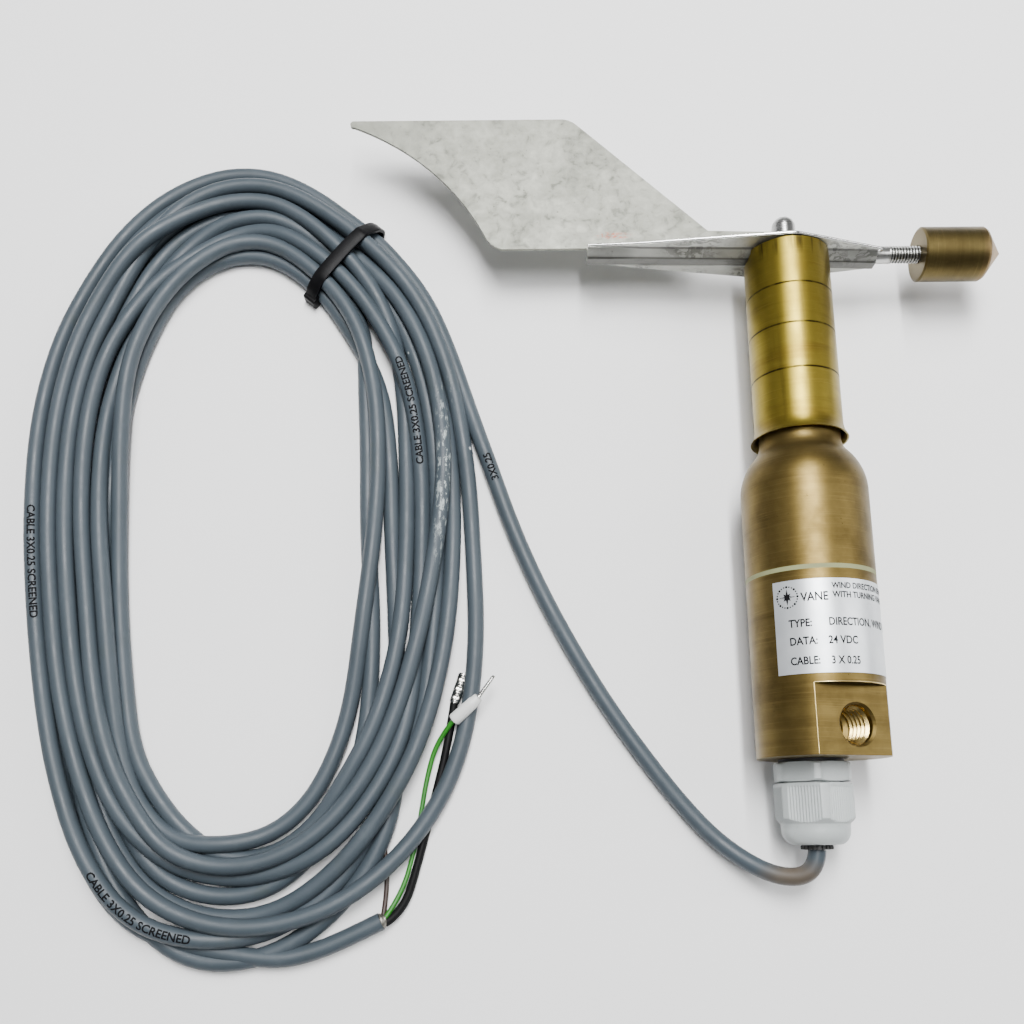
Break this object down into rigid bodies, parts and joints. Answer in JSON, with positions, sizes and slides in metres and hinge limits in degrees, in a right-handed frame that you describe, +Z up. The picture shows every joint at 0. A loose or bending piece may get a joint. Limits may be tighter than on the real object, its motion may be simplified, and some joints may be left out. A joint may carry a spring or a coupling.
{
  "type": "wind vane",
  "caption": "Wind direction transmitter: a sheet-metal fin, arm and counterweight turn on a brass body with a cable gland and a coiled lead.",
  "frame": {"origin": "middle of the footprint of the instrument without its lead, on the surface that it lies on", "axes": "+Y along the rotor axis from the cable gland to the vane, +Z up from the surface, +X from the rotor axis to the counterweight"},
  "size_m": [0.3335, 0.2901, 0.0402],
  "materials": {
    "brass_housing": "satin turned brass, browned by handling",
    "brass_sleeve": "drawn brass tube, lightly scratched",
    "brass_weight": "turned brass, tarnished",
    "gasket": "cream elastomer",
    "label_foil": "silver foil, dark print",
    "stainless": "turned stainless steel",
    "screw_steel": "blackened steel",
    "magnet": "nickel-plated",
    "bearing_steel": "ground",
    "spring_steel": "phosphated",
    "spacer_aluminium": "turned",
    "seal_rubber": "black, matt",
    "arm_steel": "zinc-plated sheet, dull",
    "fin_zinc": "zinc-plated sheet, matt and mottled",
    "rod_zinc": "zinc-plated",
    "board_green": "solder mask",
    "chip_black": "moulded",
    "terminal_green": "moulded",
    "gland_grey": "moulded polyamide",
    "jacket_grey": "PVC jacket, satin",
    "tie_black": "moulded nylon",
    "braid": "tinned copper",
    "core_green": "insulation",
    "core_white": "insulation",
    "core_brown": "insulation",
    "sleeving_black": "shrink sleeving"
  },
  "bodies": {
    "housing": {"lower_housing": "brass_housing", "upper_housing": "brass_housing", "housing_gasket": "gasket", "name_plate": "label_foil", "lower_bearing_outer_ring": "bearing_steel", "lower_bearing_balls": "bearing_steel", "upper_bearing_outer_ring": "bearing_steel", "upper_bearing_balls": "bearing_steel", "outer_spacer": "spacer_aluminium", "bearing_circlip": "spring_steel", "shaft_seal": "seal_rubber", "circuit_board": "board_green", "angle_sensor": "chip_black", "board_components": "chip_black", "terminal_block": "terminal_green", "board_standoffs": "spacer_aluminium", "board_screws": "screw_steel", "gland_washer": "seal_rubber", "gland_body": "gland_grey", "gland_nut": "gland_grey", "gland_seal": "seal_rubber", "cable_inlet": "jacket_grey", "inner_wires": "core_white", "cable_run": "jacket_grey", "cable_coil": "jacket_grey", "cable_tail": "jacket_grey", "cable_tie": "tie_black", "screen_braid": "braid", "green_core": "core_green", "white_core": "core_white", "brown_core": "core_brown", "screen_sleeve": "sleeving_black", "green_ferrule": "core_white", "ferrule_pin": "braid", "screen_ferrule": "braid"},
    "rotor": {"rotor_sleeve": "brass_sleeve", "rotor_hub": "brass_sleeve", "hub_screw": "screw_steel", "rotor_shaft": "stainless", "magnet_holder": "brass_housing", "holder_screw": "screw_steel", "sensor_magnet": "magnet", "lower_bearing_inner_ring": "bearing_steel", "upper_bearing_inner_ring": "bearing_steel", "inner_spacer": "spacer_aluminium", "shaft_circlip": "spring_steel", "vane_arm": "arm_steel", "vane_fin": "fin_zinc", "counterweight_rod": "rod_zinc"},
    "weight": {"counterweight": "brass_weight"}
  },
  "joints": [
    {"name": "vane_spin", "type": "hinge", "parent": "housing", "child": "rotor", "pos_m": [0.03855, 0, 0.02], "axis": [0, 1, 0], "continuous": true},
    {"name": "weight_slide", "type": "slide", "parent": "rotor", "child": "weight", "axis": [1, 0, 0], "range_m": [-0.006, 0.006]}
  ]
}
